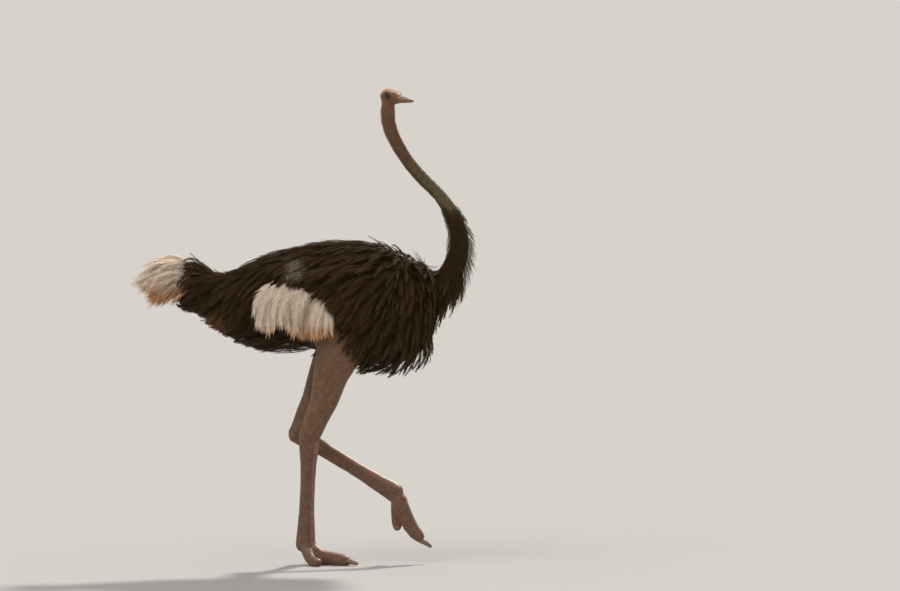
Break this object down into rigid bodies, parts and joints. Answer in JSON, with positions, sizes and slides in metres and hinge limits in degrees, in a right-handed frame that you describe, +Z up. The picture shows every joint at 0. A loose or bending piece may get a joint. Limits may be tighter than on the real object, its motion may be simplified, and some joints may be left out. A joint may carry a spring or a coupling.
{
  "type": "ostrich",
  "caption": "Life-size adult male ostrich walking, still display model: bare neck and legs, black body plumage, white wing and tail plumes, standing on one foot.",
  "frame": {"origin": "on the floor, under the middle of the bird's length and width", "axes": "+X the way the bird walks, +Y its left side, +Z up"},
  "size_m": [1.487, 0.5524, 2.0976],
  "materials": {
    "black_plumage": "loose soft black plumes over the skin of the body",
    "black_down": "short fluffy black feathers over skin",
    "white_plumes": "loose white plumes, buff towards their tips",
    "neck_skin": "bare blue-grey skin with sparse whitish down",
    "thigh_skin": "bare brownish-pink skin, finely wrinkled",
    "shin_scales": "matte scaled skin with broad plates in front",
    "horn": "satin horn with fine growth lines",
    "eye": "wet gloss over a brown iris"
  },
  "bodies": {
    "root": {"bill_lower": "horn", "bill_upper": "horn", "claw_left": "horn", "claw_right": "horn", "eye_left": "eye", "eye_right": "eye", "head": "neck_skin", "neck_lower": "black_down", "neck_middle": "neck_skin", "neck_upper": "neck_skin", "shank_left": "thigh_skin", "shank_right": "thigh_skin", "tail_coverts": "black_plumage", "tail_plumes": "white_plumes", "tarsus_left": "shin_scales", "tarsus_right": "shin_scales", "thigh_left": "thigh_skin", "thigh_right": "thigh_skin", "toe_inner_left": "shin_scales", "toe_inner_right": "shin_scales", "toe_outer_left": "shin_scales", "toe_outer_right": "shin_scales", "trunk": "black_plumage", "wing_left": "black_plumage", "wing_plumes_left": "white_plumes", "wing_plumes_right": "white_plumes", "wing_right": "black_plumage"}
  },
  "joints": []
}
